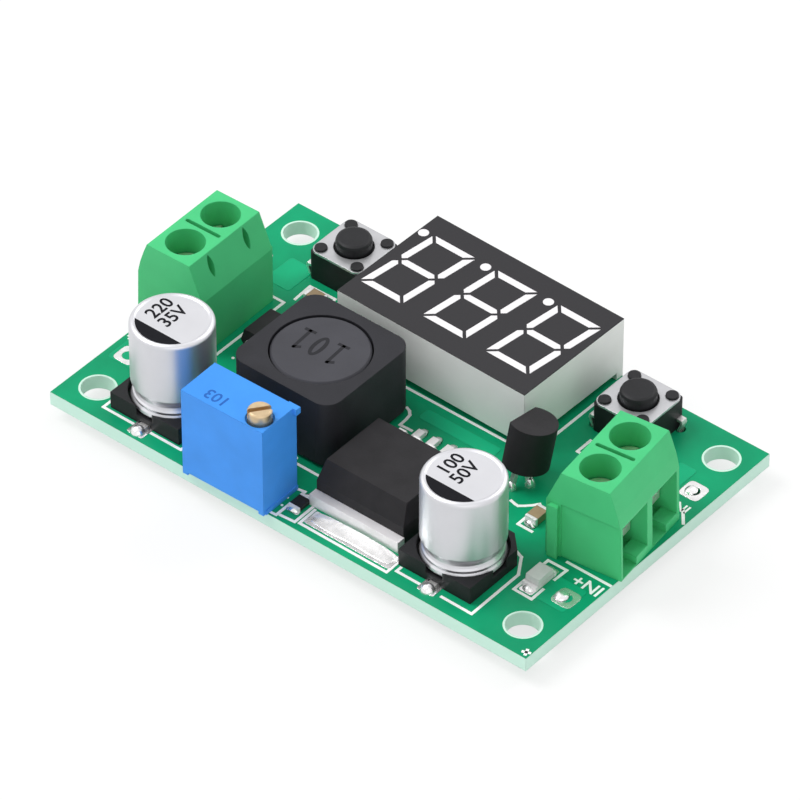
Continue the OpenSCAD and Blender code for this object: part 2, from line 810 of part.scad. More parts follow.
// Case on four corner feet, hollow below and with a pocket for each bar
module display_case() {
    l = display_l / 2;
    d = display_d / 2;
    foot = 0.9;
    wall = 1;
    color("#d6d6d2") at_display()
    difference() {
        box([-l, -d, 0], [l, d, display_h]);
        box([-l - 1, foot - d, -e], [l + 1, d - foot, display_foot]);
        box([foot - l, -d - 1, -e], [l - foot, d + 1, display_foot]);
        box([wall - l, wall - d, -e], [l - wall, d - wall, display_foot + 0.8]);
        translate([0, 0, display_h - bar_depth]) linear_extrude(height = 2) all_digits();
    }
}

module display_bars() {
    color("white") at_display()
        translate([0, 0, display_h - bar_depth]) linear_extrude(height = bar_depth) all_digits();
}

module display_pins() {
    color(tin) each_display_pin()
        box([-display_pin / 2, -display_pin / 2, -board_t - lead_trim],
            [display_pin / 2, display_pin / 2, display_foot + 0.8]);
}

chip_body_l = 6.5;
chip_body_w = 4.4;
chip_body_h = 1;
chip_pitch = 0.65;

// Controller under the display
module meter_chip_body() {
    color(black) at_display()
        box([-chip_body_l / 2, -chip_body_w / 2, 0.1], [chip_body_l / 2, chip_body_w / 2, 0.1 + chip_body_h]);
}

module meter_chip_leads() {
    y = chip_body_w / 2;
    color(tin) at_display()
    for (side = [0, 180], i = [-4.5:1:4.5]) rotate([0, 0, side]) translate([i * chip_pitch, 0, 0])
        along_x([[y, 0.5], [y + 0.3, 0.5], [y + 0.4, 0], [y + 1, 0], [y + 1, 0.15], [y + 0.52, 0.15],
            [y + 0.42, 0.65], [y, 0.65]], 0.25);
}

// Square base with a well for the dome and four rivets
module button_base() {
    color(black)
    difference() {
        union() {
            rounded_block(button_w, button_w, button_base_h, 0.4);
            each_rivet() cylinder(h = button_base_h + cover_t + 0.2, d = rivet_d);
        }
        translate([0, 0, well_floor]) cylinder(h = button_base_h, d = flange_d + 0.2);
    }
}

module each_rivet() {
    for (x = [-1, 1], y = [-1, 1])
        translate([x * rivet_pitch / 2, y * rivet_pitch / 2, 0]) children();
}

// Sheet-metal cover, held by the rivets
module button_cover() {
    color("silver") translate([0, 0, button_base_h])
    difference() {
        rounded_block(button_w, button_w, cover_t, 0.9);
        translate([0, 0, -e]) cylinder(h = 1, d = cover_hole_d);
        each_rivet() translate([0, 0, -e]) cylinder(h = 1, d = rivet_d + 0.06);
    }
}

// Plunger with a flange under the cover and a foot on the dome
module button_plunger() {
    foot_z = well_floor + dome_rise + dome_t + seat + plunger_travel;
    r = plunger_d / 2;
    color("#2a2a2e")
    rotate_extrude()
        polygon([[0, foot_z], [0.8, foot_z], [0.8, flange_z - seat], [flange_d / 2, flange_z - seat],
            [flange_d / 2, flange_z + flange_t - seat], [r, flange_z + flange_t - seat], [r, plunger_h - 0.35],
            [r - 0.12, plunger_h - 0.1], [r - 0.35, plunger_h], [0, plunger_h]]);
}

// Snap dome: a thin domed disc that springs the plunger back
module button_dome() {
    big = (dome_r * dome_r + dome_rise * dome_rise) / (2 * dome_rise);
    half = asin(dome_r / big);
    c = [0, dome_rise - big];
    color("silver") translate([0, 0, well_floor])
    rotate_extrude()
        polygon(concat(arc(c, big + dome_t, 90 - half, 90, 6), arc(c, big, 90, 90 - half, 6)));
}

// Four kinked legs
module button_leads() {
    start = button_w / 2;
    low = -board_t - lead_trim;
    color(tin)
    for (side = [0, 180], y = [-1, 1]) rotate([0, 0, side]) translate([0, y * lead_row, 0])
        along_y([[start, 1.3], [lead_out + 0.35, 1.3], [lead_out + 0.45, 0.9], [lead_out + lead_t / 2, 0],
            [lead_out + lead_t / 2, low], [lead_out - lead_t / 2, low], [lead_out - lead_t / 2, 0],
            [lead_out + 0.15, 0.85], [lead_out + 0.1, 1], [start, 1]], lead_w);
}

// Chips on the board: place, and turn from the Y axis
rear_chip = 10;
front_chip = 2.8;
side_chip_x = (small_reg[0] + small_reg_d / 2 + in_x + block_rear) / 2 - 0.3;
can_side_x = in_can[0] + can_base_w / 2;
wire_side_x = board_l / 2 - wire_end - wire_hole_d / 2;
chip_resistor_places = [
    [regulator_x - regulator_w / 2 - 0.7, front_chip - board_w / 2, 0],
    [right_button[0] - 0.15, board_w / 2 - rear_chip, 90]
];
chip_capacitor_places = [[side_chip_x, -2.7, 0], [left_button[0] - 0.25, board_w / 2 - rear_chip, 90]];
led_place = [(can_side_x + wire_side_x) / 2, 8.8 - board_w / 2, 0];
chip_end = 0.3;
resistor_h = 0.5;
capacitor_h = 0.85;
led_base_h = 0.5;
led_h = 1.1;

module at_chip(p) {
    on_board([p[0], p[1]], p[2]) children();
}

module chip_body(l, w, h) {
    y = l / 2 - chip_end;
    box([-w / 2, -y, 0.05], [w / 2, y, h]);
}

module chip_metal(l, w, h) {
    for (side = [-1, 1])
        translate([0, side * (l - chip_end) / 2, h / 2]) cube([w, chip_end, h], center = true);
}

module chip_resistors() {
    color(black)
    for (p = chip_resistor_places) at_chip(p) chip_body(chip_l, chip_w, resistor_h);
}

module chip_capacitors() {
    color("#b39a78")
    for (p = chip_capacitor_places) at_chip(p) chip_body(chip_l, chip_w, capacitor_h);
}

module chip_ends() {
    color(tin) {
        for (p = chip_resistor_places) at_chip(p) chip_metal(chip_l, chip_w, resistor_h);
        for (p = chip_capacitor_places) at_chip(p) chip_metal(chip_l, chip_w, capacitor_h);
        at_chip(led_place) chip_metal(led_l, led_w, led_base_h);
    }
}

// Light: a flat carrier with a clear lens block
module power_led() {
    y = led_l / 2 - chip_end;
    color("#f2f2e8") at_chip(led_place) {
        chip_body(led_l, led_w, led_base_h);
        along_x([[0.05 - y, led_base_h], [0.15 - y, led_h], [y - 0.15, led_h], [y - 0.05, led_base_h]],
            led_w - 0.1);
    }
}

pcb();
solder_joints();
at_out() terminal_housing();  // out_terminal_housing
at_out() terminal_contacts();  // out_terminal_contacts
at_out(1) clamp_screw(40);  // out_plus_screw
at_out(1) cage();  // out_plus_cage
at_out(-1) clamp_screw(115);  // out_minus_screw
at_out(-1) cage();  // out_minus_cage
at_in() terminal_housing();  // in_terminal_housing
at_in() terminal_contacts();  // in_terminal_contacts
at_in(-1) clamp_screw(25);  // in_plus_screw
at_in(-1) cage();  // in_plus_cage
at_in(1) clamp_screw(80);  // in_minus_screw
at_in(1) cage();  // in_minus_cage
on_board(out_can) capacitor_can();  // out_capacitor_can
on_board(out_can) capacitor_base();  // out_capacitor_base
on_board(out_can) capacitor_leads();  // out_capacitor_leads
on_board(in_can) capacitor_can();  // in_capacitor_can
on_board(in_can) capacitor_base();  // in_capacitor_base
on_board(in_can) capacitor_leads();  // in_capacitor_leads
inductor_shield();
inductor_core();
inductor_winding();
inductor_terminals();
regulator_body();
regulator_leadframe();
diode_body();
diode_leads();
trimmer_housing();
trimmer_base();
trimmer_pins();
trimmer_screw();
trimmer_slider();
trimmer_wiper();
trimmer_element();
meter_regulator_body();
meter_regulator_leads();
display_case();
display_bars();
display_pins();
meter_chip_body();
meter_chip_leads();
on_board(left_button) button_base();  // left_button_base
on_board(left_button) button_cover();  // left_button_cover
on_board(left_button) button_plunger();  // left_button_plunger
on_board(left_button) button_dome();  // left_button_dome
on_board(left_button) button_leads();  // left_button_leads
on_board(right_button) button_base();  // right_button_base
on_board(right_button) button_cover();  // right_button_cover
on_board(right_button) button_plunger();  // right_button_plunger
on_board(right_button) button_dome();  // right_button_dome
on_board(right_button) button_leads();  // right_button_leads
chip_resistors();
chip_capacitors();
chip_ends();
power_led();
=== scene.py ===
import math

import bmesh
import bpy
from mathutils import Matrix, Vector


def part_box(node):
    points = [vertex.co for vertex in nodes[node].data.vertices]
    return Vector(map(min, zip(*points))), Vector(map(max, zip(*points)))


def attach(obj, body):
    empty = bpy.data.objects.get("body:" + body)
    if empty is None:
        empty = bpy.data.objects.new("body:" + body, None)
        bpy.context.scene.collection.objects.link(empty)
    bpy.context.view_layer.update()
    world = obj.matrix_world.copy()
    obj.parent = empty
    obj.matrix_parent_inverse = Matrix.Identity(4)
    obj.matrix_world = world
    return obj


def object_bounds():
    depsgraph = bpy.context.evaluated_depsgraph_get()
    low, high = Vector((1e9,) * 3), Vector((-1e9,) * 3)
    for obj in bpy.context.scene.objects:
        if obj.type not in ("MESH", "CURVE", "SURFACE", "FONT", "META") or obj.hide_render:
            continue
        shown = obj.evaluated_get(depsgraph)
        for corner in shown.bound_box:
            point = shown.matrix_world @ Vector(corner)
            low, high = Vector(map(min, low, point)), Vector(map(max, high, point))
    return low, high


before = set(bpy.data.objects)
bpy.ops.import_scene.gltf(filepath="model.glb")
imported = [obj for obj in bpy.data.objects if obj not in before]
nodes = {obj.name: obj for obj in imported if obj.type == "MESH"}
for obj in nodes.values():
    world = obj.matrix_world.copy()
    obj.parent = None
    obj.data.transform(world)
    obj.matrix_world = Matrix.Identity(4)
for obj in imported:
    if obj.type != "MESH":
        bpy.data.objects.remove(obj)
cadLow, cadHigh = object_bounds()
mm = 0.001
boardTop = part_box("pcb")[1].z
floorZ = cadLow.z


def deselectAll():
    if bpy.context.mode != "OBJECT":
        bpy.ops.object.mode_set(mode="OBJECT")
    bpy.ops.object.select_all(action="DESELECT")


def pick(obj):
    deselectAll()
    obj.select_set(True)
    bpy.context.view_layer.objects.active = obj
    return obj


def settle(obj):  # its place goes into its mesh
    pick(obj)
    bpy.ops.object.transform_apply(location=True, rotation=True, scale=True)
    return obj


def applyAll(obj):
    pick(obj)
    for modifier in list(obj.modifiers):
        bpy.ops.object.modifier_apply(modifier=modifier.name)
    return obj


def joined(objs, name):
    deselectAll()
    for obj in objs:
        obj.select_set(True)
    bpy.context.view_layer.objects.active = objs[0]
    if len(objs) > 1:
        bpy.ops.object.join()
    obj = bpy.context.object
    obj.name = name
    obj.data.name = name
    return settle(obj)


def addPiece(obj, finish, body="board", smooth=35):
    pick(obj)
    obj.data.materials.clear()
    obj.data.materials.append(finish)
    if smooth:
        bpy.ops.object.shade_smooth_by_angle(angle=math.radians(smooth))
    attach(obj, body)
    return obj


def chooseEdges(obj, test):
    bpy.ops.object.mode_set(mode="EDIT")
    bpy.ops.mesh.select_mode(type="EDGE")
    mesh = bmesh.from_edit_mesh(obj.data)
    for edge in mesh.edges:
        edge.select_set(bool(test(edge.verts[0].co, edge.verts[1].co)))
    mesh.select_flush_mode()
    bmesh.update_edit_mesh(obj.data)


def block(size, centre, turn=0.0):
    deselectAll()
    bpy.ops.mesh.primitive_cube_add(size=1, location=[c * mm for c in centre], rotation=(0, 0, turn))
    obj = bpy.context.object
    obj.scale = [s * mm for s in size]
    return settle(obj)


def roundedPlate(size, centre, radius, segments):
    obj = block(size, centre)
    chooseEdges(obj, lambda a, b: abs(a.z - b.z) > size[2] / 3 * mm)
    bpy.ops.mesh.bevel(offset=radius * mm, segments=segments, affect="EDGES")
    bpy.ops.object.mode_set(mode="OBJECT")
    return obj


def meshed(obj):  # a text or curve as a mesh
    pick(obj)
    bpy.ops.object.convert(target="MESH")
    return settle(bpy.context.object)


print("helpers ready")


# how each material looks
finishes = {
    "maskGreen": {"colour": (0.004, 0.330, 0.150), "rough": 0.34, "mottle": 0.14, "patch": 160,
                  "grain": 2500, "bump": 0.05, "shine": 0.14},
    "maskOnCopper": {"colour": (0.008, 0.420, 0.200), "rough": 0.32, "mottle": 0.10, "patch": 200,
                     "grain": 2500, "bump": 0.05, "shine": 0.14},
    "terminalGreen": {"colour": (0.070, 0.560, 0.215), "rough": 0.45, "mottle": 0.04, "patch": 300,
                      "grain": 5000, "bump": 0.08, "shine": 0.18, "glow": 0.06},
    "tin": {"colour": (0.80, 0.79, 0.78), "rough": 0.34, "metal": 0.8, "mottle": 0.08,
            "patch": 900, "grain": 4500, "bump": 0.05},
    "coverSteel": {"colour": (0.56, 0.56, 0.58), "rough": 0.34, "metal": 0.75, "mottle": 0.05,
                   "patch": 500, "grain": 3500, "bump": 0.03},
    "tabMetal": {"colour": (0.93, 0.91, 0.92), "rough": 0.40, "metal": 0.35, "mottle": 0.06,
                 "patch": 700, "grain": 4500, "bump": 0.05},
    "solder": {"colour": (0.88, 0.87, 0.87), "rough": 0.22, "metal": 0.85, "mottle": 0.10,
               "patch": 1400, "grain": 4000, "bump": 0.10},
    "screwSteel": {"colour": (0.80, 0.76, 0.66), "rough": 0.34, "metal": 0.85, "mottle": 0.12,
                   "patch": 1500, "grain": 5000, "bump": 0.10},
    "canAluminium": {"colour": (0.67, 0.67, 0.70), "rough": 0.38, "metal": 0.88, "mottle": 0.03,
                     "patch": 260, "grain": 5000, "bump": 0.04},
    "baseBlack": {"colour": (0.010, 0.010, 0.012), "rough": 0.52, "mottle": 0.20, "patch": 500,
                  "grain": 6000, "bump": 0.15, "shine": 0.28},
    "packageBlack": {"colour": (0.018, 0.017, 0.019), "rough": 0.58, "mottle": 0.18, "patch": 450,
                     "grain": 5200, "bump": 0.22, "shine": 0.20},
    "ferriteGrey": {"colour": (0.024, 0.024, 0.029), "rough": 0.55, "mottle": 0.12, "patch": 380,
                    "grain": 5200, "bump": 0.18, "shine": 0.2},
    "coreGrey": {"colour": (0.052, 0.052, 0.062), "rough": 0.48, "mottle": 0.10, "patch": 300,
                 "grain": 4800, "bump": 0.12, "shine": 0.24},
    "enamelCopper": {"colour": (0.50, 0.18, 0.06), "rough": 0.35, "metal": 0.9, "mottle": 0.2,
                     "patch": 600, "grain": 5000, "bump": 0.2},
    "trimmerBlue": {"colour": (0.055, 0.300, 0.860), "rough": 0.48, "mottle": 0.05, "patch": 320,
                    "grain": 4500, "bump": 0.08, "shine": 0.20},
    "turnedBrass": {"colour": (0.66, 0.50, 0.31), "rough": 0.36, "metal": 0.9, "mottle": 0.08,
                    "patch": 1500, "grain": 5000, "bump": 0.08},
    "ceramicIvory": {"colour": (0.72, 0.68, 0.58), "rough": 0.55, "mottle": 0.06, "patch": 500,
                     "grain": 4000, "bump": 0.12},
    "chipTan": {"colour": (0.34, 0.24, 0.14), "rough": 0.45, "mottle": 0.10, "patch": 900,
                "grain": 5000, "bump": 0.12},
    "caseGrey": {"colour": (0.92, 0.92, 0.91), "rough": 0.48, "mottle": 0.03, "patch": 220,
                 "grain": 4200, "bump": 0.06, "shine": 0.3},
    "faceBlack": {"colour": (0.018, 0.017, 0.020), "rough": 0.60, "mottle": 0.10, "patch": 400,
                  "grain": 7000, "bump": 0.12, "shine": 0.1},
    "diffuserWhite": {"colour": (0.86, 0.84, 0.86), "rough": 0.38, "mottle": 0.03, "patch": 900,
                      "grain": 4000, "bump": 0.04},
    "nutWhite": {"colour": (0.76, 0.76, 0.74), "rough": 0.45, "mottle": 0.05, "patch": 600,
                 "grain": 4000, "bump": 0.10},
    "inkWhite": {"colour": (0.98, 0.99, 0.98), "rough": 0.60, "mottle": 0.03, "patch": 1200,
                 "grain": 5000, "bump": 0.04, "edge": 0},
    "inkBlack": {"colour": (0.010, 0.010, 0.013), "rough": 0.7, "mottle": 0.10, "patch": 1200,
                 "grain": 5000, "bump": 0.05, "shine": 0.08, "edge": 0},
    "inkGrey": {"colour": (0.016, 0.016, 0.020), "rough": 0.45, "mottle": 0.10, "patch": 1200,
                "grain": 5000, "bump": 0.05, "shine": 0.2, "edge": 0},
    "inkBlue": {"colour": (0.020, 0.130, 0.480), "rough": 0.55, "mottle": 0.10, "patch": 1200,
                "grain": 5000, "bump": 0.05, "shine": 0.2, "edge": 0},
    "clearLens": {"colour": (0.90, 0.92, 0.90), "rough": 0.20, "mottle": 0.05, "patch": 1200,
                  "grain": 4000, "bump": 0.05, "clear": 0.25},
}


relief = {"ramp": (0.3, 0.7), "gloss": 0.07, "least": 0.02, "depth": 0.03, "edge": 0.10, "samples": 3}


def makeFinish(name, look):
    finish = bpy.data.materials.new(name)
    finish.use_nodes = True
    tree = finish.node_tree
    tree.nodes.clear()
    link = tree.links.new
    out = tree.nodes.new("ShaderNodeOutputMaterial")
    shader = tree.nodes.new("ShaderNodeBsdfPrincipled")
    link(shader.outputs["BSDF"], out.inputs["Surface"])
    place = tree.nodes.new("ShaderNodeTexCoord")
    patches = tree.nodes.new("ShaderNodeTexNoise")
    patches.inputs["Scale"].default_value = look["patch"]
    patches.inputs["Detail"].default_value = 3
    grain = tree.nodes.new("ShaderNodeTexNoise")
    grain.inputs["Scale"].default_value = look["grain"]
    grain.inputs["Detail"].default_value = 2
    for noise in (patches, grain):
        link(place.outputs["Object"], noise.inputs["Vector"])
    tone = tree.nodes.new("ShaderNodeValToRGB")
    tone.name = "tone"
    spread = look["mottle"]
    for end, position in zip(tone.color_ramp.elements, relief["ramp"]):
        end.position = position
    tone.color_ramp.elements[0].color = [c * (1 - spread) for c in look["colour"]] + [1]
    tone.color_ramp.elements[1].color = [min(1, c * (1 + spread)) for c in look["colour"]] + [1]
    link(patches.outputs["Fac"], tone.inputs["Fac"])
    link(tone.outputs["Color"], shader.inputs["Base Color"])
    gloss = tree.nodes.new("ShaderNodeMapRange")
    gloss.inputs["To Min"].default_value = max(relief["least"], look["rough"] - relief["gloss"])
    gloss.inputs["To Max"].default_value = min(1, look["rough"] + relief["gloss"])
    link(grain.outputs["Fac"], gloss.inputs["Value"])
    link(gloss.outputs["Result"], shader.inputs["Roughness"])
    bump = tree.nodes.new("ShaderNodeBump")
    bump.inputs["Strength"].default_value = look["bump"]
    bump.inputs["Distance"].default_value = relief["depth"] * mm
    link(grain.outputs["Fac"], bump.inputs["Height"])
    edge = look.get("edge", relief["edge"])
    if edge:
        softEdge = tree.nodes.new("ShaderNodeBevel")
        softEdge.samples = relief["samples"]
        softEdge.inputs["Radius"].default_value = edge * mm
        link(softEdge.outputs["Normal"], bump.inputs["Normal"])
    link(bump.outputs["Normal"], shader.inputs["Normal"])
    shader.inputs["Metallic"].default_value = look.get("metal", 0.0)
    shader.inputs["Specular IOR Level"].default_value = look.get("shine", 0.5)
    if "glow" in look:
        shader.inputs["Subsurface Weight"].default_value = look["glow"]
        shader.inputs["Subsurface Radius"].default_value = (0.0004, 0.0012, 0.0006)
        shader.inputs["Subsurface Scale"].default_value = 1.0
    if "clear" in look:
        shader.inputs["Transmission Weight"].default_value = look["clear"]
    return finish


finish = {name: makeFinish(name, look) for name, look in finishes.items()}


def shaderOf(tree, kind="BSDF_PRINCIPLED"):
    return next(node for node in tree.nodes if node.type == kind)


def mathNode(tree, operation, first, second):  # second is a number or another node's output
    node = tree.nodes.new("ShaderNodeMath")
    node.operation = operation
    tree.links.new(first, node.inputs[0])
    if isinstance(second, float):
        node.inputs[1].default_value = second
    else:
        tree.links.new(second, node.inputs[1])
    return node.outputs[0]


def paintOver(tree, where, colour):  # another colour where the mask is 1
    shader = shaderOf(tree)
    mix = tree.nodes.new("ShaderNodeMix")
    mix.data_type = "RGBA"
    mix.inputs["B"].default_value = (*colour, 1)
    tree.links.new(shader.inputs["Base Color"].links[0].from_socket, mix.inputs["A"])
    tree.links.new(where, mix.inputs["Factor"])
    tree.links.new(mix.outputs["Result"], shader.inputs["Base Color"])


def zoned(base, name, colour, rules):
    # a copy of a finish that turns to another colour where any rule holds; each rule is
    # (axis, value, "above" or "below") on the piece's own coordinates in millimetres
    made = base.copy()
    made.name = name
    tree = made.node_tree
    split = tree.nodes.new("ShaderNodeSeparateXYZ")
    tree.links.new(shaderOf(tree, "TEX_COORD").outputs["Object"], split.inputs["Vector"])
    total = None
    for axis, value, side in rules:
        compare = "GREATER_THAN" if side == "above" else "LESS_THAN"
        test = mathNode(tree, compare, split.outputs[axis], value * mm)
        total = test if total is None else mathNode(tree, "MAXIMUM", total, test)
    paintOver(tree, total, colour)
    return made


def holeRims(made, centre, radius, colour):  # pale rings round round holes
    tree = made.node_tree
    link = tree.links.new
    fold = tree.nodes.new("ShaderNodeVectorMath")  # the four corners are alike, so one test serves all
    fold.operation = "ABSOLUTE"
    link(shaderOf(tree, "TEX_COORD").outputs["Object"], fold.inputs[0])
    flat = tree.nodes.new("ShaderNodeVectorMath")
    flat.operation = "MULTIPLY"
    flat.inputs[1].default_value = (1, 1, 0)
    link(fold.outputs[0], flat.inputs[0])
    reach = tree.nodes.new("ShaderNodeVectorMath")
    reach.operation = "DISTANCE"
    reach.inputs[1].default_value = (centre[0] * mm, centre[1] * mm, 0)
    link(flat.outputs[0], reach.inputs[0])
    paintOver(tree, mathNode(tree, "LESS_THAN", reach.outputs["Value"], radius * mm), colour)


boardLook = {
    "edgeColour": (0.60, 0.86, 0.74),
    "skin": 0.02,  # this near to a side face, the board shows its core
    "hole": (25.2, 14.45),
    "rim": 1.82,
    "rimColour": (0.62, 0.86, 0.74),
}
displayLook = {"skin": 0.06}
low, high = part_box("pcb")
rules = [("X", low.x / mm + boardLook["skin"], "below"), ("X", high.x / mm - boardLook["skin"], "above"),
         ("Y", low.y / mm + boardLook["skin"], "below"), ("Y", high.y / mm - boardLook["skin"], "above")]
boardFinish = zoned(finish["maskGreen"], "boardGreen", boardLook["edgeColour"], rules)
holeRims(boardFinish, boardLook["hole"], boardLook["rim"], boardLook["rimColour"])
rules = [("Z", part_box("display_case")[1].z / mm - displayLook["skin"], "above")]
displayFinish = zoned(finish["caseGrey"], "displayCase", finishes["faceBlack"]["colour"], rules)

nodeFinish = {
    "boardFinish": ["pcb"],
    "displayFinish": ["display_case"],
    "solder": ["solder_joints"],
    "terminalGreen": ["out_terminal_housing", "in_terminal_housing"],
    "screwSteel": ["out_plus_screw", "out_minus_screw", "in_plus_screw", "in_minus_screw"],
    "canAluminium": ["out_capacitor_can", "in_capacitor_can"],
    "baseBlack": ["out_capacitor_base", "in_capacitor_base", "left_button_base", "right_button_base",
                  "left_button_plunger", "right_button_plunger", "chip_resistors"],
    "packageBlack": ["regulator_body", "diode_body", "meter_regulator_body", "meter_chip_body"],
    "ferriteGrey": ["inductor_shield"],
    "coreGrey": ["inductor_core"],
    "coverSteel": ["left_button_cover", "right_button_cover"],
    "tabMetal": ["regulator_leadframe", "chip_ends"],
    "enamelCopper": ["inductor_winding"],
    "trimmerBlue": ["trimmer_housing", "trimmer_base"],
    "turnedBrass": ["trimmer_screw", "trimmer_wiper"],
    "nutWhite": ["trimmer_slider"],
    "ceramicIvory": ["trimmer_element"],
    "chipTan": ["chip_capacitors"],
    "diffuserWhite": ["display_bars"],
    "clearLens": ["power_led"],
}
own = {"boardFinish": boardFinish, "displayFinish": displayFinish}
chosen = {node: own.get(name) or finish[name] for name, group in nodeFinish.items() for node in group}
for node, obj in nodes.items():
    material = chosen.get(node, finish["tin"])
    if obj.material_slots:
        for slot in obj.material_slots:
            slot.material = material
    else:
        obj.data.materials.append(material)
print("finishes made")


# white lines and marks on the board, in millimetres from the holes' centre
silk = {
    "width": 0.30,
    "thick": 0.02,
    "lines": [
        [(-23.0, -15.2), (-23.0, -16.2), (-19.3, -16.2)],  # output capacitor
        [(-17.2, -16.15), (-13.6, -16.15), (-13.6, -8.4), (-14.9, -7.0), (-17.2, -7.0)],
        [(-19.4, -7.0), (-21.7, -7.0), (-23.0, -8.4), (-23.0, -15.2)],
        [(12.05, -15.6), (12.05, -16.2), (15.2, -16.2)],  # input capacitor
        [(17.3, -16.25), (20.8, -16.28), (20.77, -9.6), (19.5, -7.6), (18.7, -7.3)],
        [(1.13, -14.6), (1.2, -16.85), (11.45, -16.88), (11.4, -14.6)],  # regulator tab
        [(-1.84, -17.38), (-1.15, -17.34), (-1.15, -13.3), (-1.95, -13.45)],  # small part by the trimmer
        [(-0.85, -17.12), (0.76, -17.0), (0.74, -14.5)],
        [(21.65, -9.75), (21.65, -11.33), (23.7, -11.37), (23.69, -9.69)],  # power light
        [(21.63, -7.59), (21.63, -6.41), (23.75, -6.38), (23.69, -8.07)],
        [(23.1, -5.5), (28.05, -5.5)],  # input block
        [(26.8, 6.66), (27.97, 5.2)],
        [(-12.3, 16.9), (-12.3, 3.65), (11.45, 3.75), (11.55, 13.7)],  # display
        [(14.46, 8.78), (14.46, 6.8), (17.9, 6.8)],
        [(-13.4, -10.85), (-1.2, -10.83)],  # inductor
        [(-1.45, 1.56), (-0.95, 1.35), (-0.55, 0.94), (-0.42, 0.2), (-0.37, -0.71), (0.97, -0.65)],
        [(14.0, -2.28), (14.6, -2.42), (14.95, -2.45), (15.43, -2.05), (15.95, -1.5), (16.32, -0.97)],
        [(16.48, -2.0), (16.48, -4.35), (18.1, -4.35)],  # small part by the input block
        [(-19.3, 6.73), (-19.42, 9.06), (-16.4, 9.12), (-16.32, 8.43)],
        [(-17.95, -2.9), (-15.6, -2.9)],  # diode
        [(-17.95, 3.9), (-15.6, 3.9)],
        [(-28.0, -5.4), (-19.8, -5.4), (-19.8, 5.7), (-28.0, 5.7)],  # output block
    ],
    "dots": [(-18.3, -3.35, 0.16), (-4.78, -10.28, 0.2), (-1.6, -16.0, 0.13), (-1.85, -14.9, 0.12)],
    "crosses": [(27.68, -17.05, 0.32)],
    "words": [
        ("IN+", (26.45, -6.72), 180, 1.45), ("IN-", (26.3, 6.9), 180, 1.1),
        ("OUT+", (-26.0, -7.1), 180, 1.1), ("OUT-", (-26.0, 7.0), 180, 1.1),
    ],
    "step": 0.003,  # strokes of a line differ by this in height, so that none share a face
    "wordLift": 0.01,
    "capital": 1.35,  # font size for a capital 1 tall
    "bold": 0.02,
}


def inkBar(a, b, width, z, thick):  # one straight stroke, a little longer than its two points
    dx, dy = b[0] - a[0], b[1] - a[1]
    size = (math.hypot(dx, dy) + width * 0.8, width, thick)
    return block(size, ((a[0] + b[0]) / 2, (a[1] + b[1]) / 2, z + thick / 2), math.atan2(dy, dx))


def inkWord(text, at, turn, size, z, thick, name):
    deselectAll()
    bpy.ops.object.text_add(location=(at[0] * mm, at[1] * mm, z * mm),
                            rotation=(0, 0, math.radians(turn)))
    obj = bpy.context.object
    obj.data.body = text
    obj.data.align_x = "CENTER"
    obj.data.align_y = "CENTER"
    obj.data.size = size * mm * silk["capital"]
    obj.data.extrude = thick * mm / 2
    obj.data.offset = silk["bold"] * size * mm
    obj.data.resolution_u = 3
    obj = meshed(obj)
    obj.name = name
    return obj


def inkDisc(at, radius, z, thick, sides=20):
    deselectAll()
    bpy.ops.mesh.primitive_cylinder_add(vertices=sides, radius=radius * mm, depth=thick * mm,
                                        location=(at[0] * mm, at[1] * mm, (z + thick / 2) * mm))
    return settle(bpy.context.object)


top = boardTop / mm
strokes = []
for line in silk["lines"]:
    for a, b in zip(line, line[1:]):
        strokes.append(inkBar(a, b, silk["width"], top, silk["thick"] + silk["step"] * (len(strokes) % 3)))
for x, y, radius in silk["dots"]:
    strokes.append(inkDisc((x, y), radius, top, silk["thick"]))
for x, y, reach in silk["crosses"]:
    for turn in (20, 110):
        c, s = math.cos(math.radians(turn)) * reach, math.sin(math.radians(turn)) * reach
        strokes.append(inkBar((x - c, y - s), (x + c, y + s), silk["width"], top, silk["thick"]))
for text, at, turn, size in silk["words"]:
    strokes.append(inkWord(text, at, turn, size, top + silk["wordLift"], silk["thick"], "mark"))
addPiece(joined(strokes, "boardMarks"), finish["inkWhite"], smooth=0)
print("board marks made")


# copper that shows under the mask
copper = {
    "thick": 0.03,
    "sink": 0.008,
    "corner": 0.35,
    "pours": [  # centre x, y, length, width
        (4.6, 1.9, 8.8, 1.5),
        (-24.3, -8.6, 6.4, 4.0), (24.9, -9.2, 4.2, 3.6), (23.6, 9.6, 2.0, 4.2), (-22.0, 9.2, 3.0, 4.0),
        (18.4, 3.6, 2.8, 6.6), (-14.6, -1.2, 0.8, 6.0), (-0.2, -12.0, 1.1, 2.2),
    ],
}
z = top + copper["thick"] / 2 - copper["sink"]
pours = [roundedPlate((length, width, copper["thick"]), (x, y, z), copper["corner"], 3)
         for x, y, length, width in copper["pours"]]
addPiece(joined(pours, "copperPours"), finish["maskOnCopper"], smooth=0)


pads = {
    "thick": 0.035,
    "sink": 0.005,
    "corner": 0.18,
    "half": (1.12, 1.12),
    "hole": (0.6, 0.6),
    "square": [(x, y) for x in (-26.0, 26.0) for y in (-9.3, 9.3)],
    "flat": [  # centre x, y, length in x, length in y
        (15.75, -15.85, 1.9, 1.9), (15.75, -6.55, 1.9, 1.9), (-18.3, -16.35, 1.9, 1.9),
        (-18.3, -6.95, 1.9, 1.9), (6.35, -15.55, 10.0, 1.9), (22.65, -7.5, 1.5, 1.2),
        (22.65, -10.45, 1.5, 1.2), (-0.35, -14.0, 1.4, 0.6),
        (-0.35, -15.9, 1.4, 0.6),
    ],
}


